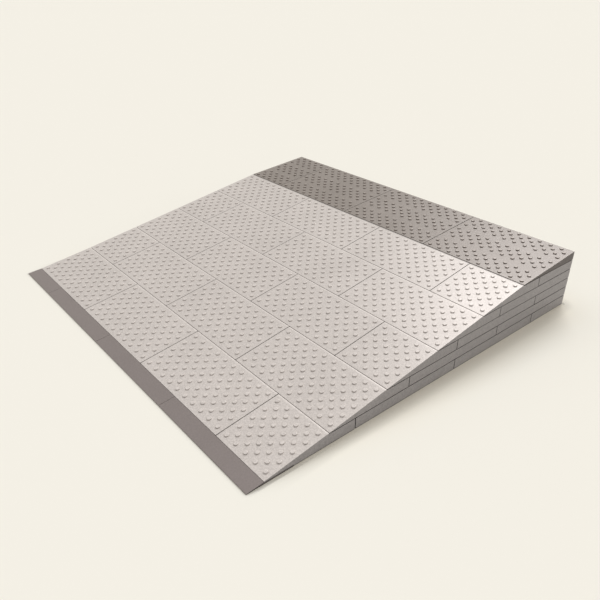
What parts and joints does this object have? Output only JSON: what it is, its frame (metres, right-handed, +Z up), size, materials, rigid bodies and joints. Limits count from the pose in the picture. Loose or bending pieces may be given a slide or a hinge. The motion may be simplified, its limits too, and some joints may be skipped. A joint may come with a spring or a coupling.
{
  "type": "threshold ramp",
  "caption": "Modular threshold ramp: studded plastic wedge modules lapped and plugged over ribbed support blocks, with a dark closing row and a thin approach strip.",
  "frame": {"origin": "on the floor, at the middle of the ramp's footprint", "axes": "+X across the ramp, +Y up the slope towards the sill, +Z up"},
  "size_m": [0.752, 0.7194, 0.1077],
  "materials": {
    "light_plastic": "matte moulded plastic, light warm grey",
    "dark_plastic": "matte moulded plastic, dark warm grey",
    "plug_plastic": "matte moulded plastic, black"
  },
  "bodies": {
    "root": {"approach_strip_1": "dark_plastic", "approach_strip_2": "dark_plastic", "approach_strip_3": "dark_plastic", "approach_strip_half": "dark_plastic", "block_plugs": "plug_plastic", "closing_wedge_1": "dark_plastic", "closing_wedge_2": "dark_plastic", "closing_wedge_3": "dark_plastic", "closing_wedge_half": "dark_plastic", "half_width_deep_blocks": "light_plastic", "half_width_short_blocks": "light_plastic", "lap_plugs": "plug_plastic", "layer1_bay1_block_1": "light_plastic", "layer1_bay1_block_2": "light_plastic", "layer1_bay1_block_3": "light_plastic", "layer1_bay2_block_1": "light_plastic", "layer1_bay2_block_2": "light_plastic", "layer1_bay2_block_3": "light_plastic", "layer1_bay3_block_1": "light_plastic", "layer1_bay3_block_2": "light_plastic", "layer1_bay3_block_3": "light_plastic", "layer2_bay1_block_1": "light_plastic", "layer2_bay1_block_2": "light_plastic", "layer2_bay1_block_3": "light_plastic", "layer2_bay2_block_1": "light_plastic", "layer2_bay2_block_2": "light_plastic", "layer2_bay2_block_3": "light_plastic", "layer3_bay1_block_1": "light_plastic", "layer3_bay1_block_2": "light_plastic", "layer3_bay1_block_3": "light_plastic", "layer3_bay2_block_1": "light_plastic", "layer3_bay2_block_2": "light_plastic", "layer3_bay2_block_3": "light_plastic", "layer4_bay1_block_1": "light_plastic", "layer4_bay1_block_2": "light_plastic", "layer4_bay1_block_3": "light_plastic", "layer5_bay1_block_1": "light_plastic", "layer5_bay1_block_2": "light_plastic", "layer5_bay1_block_3": "light_plastic", "row1_wedge_1": "light_plastic", "row1_wedge_2": "light_plastic", "row1_wedge_3": "light_plastic", "row1_wedge_half": "light_plastic", "row2_wedge_1": "light_plastic", "row2_wedge_2": "light_plastic", "row2_wedge_3": "light_plastic", "row2_wedge_half": "light_plastic", "row3_wedge_1": "light_plastic", "row3_wedge_2": "light_plastic", "row3_wedge_3": "light_plastic", "row3_wedge_half": "light_plastic", "row4_wedge_1": "light_plastic", "row4_wedge_2": "light_plastic", "row4_wedge_3": "light_plastic", "row4_wedge_half": "light_plastic", "row5_wedge_1": "light_plastic", "row5_wedge_2": "light_plastic", "row5_wedge_3": "light_plastic", "row5_wedge_half": "light_plastic"}
  },
  "joints": []
}
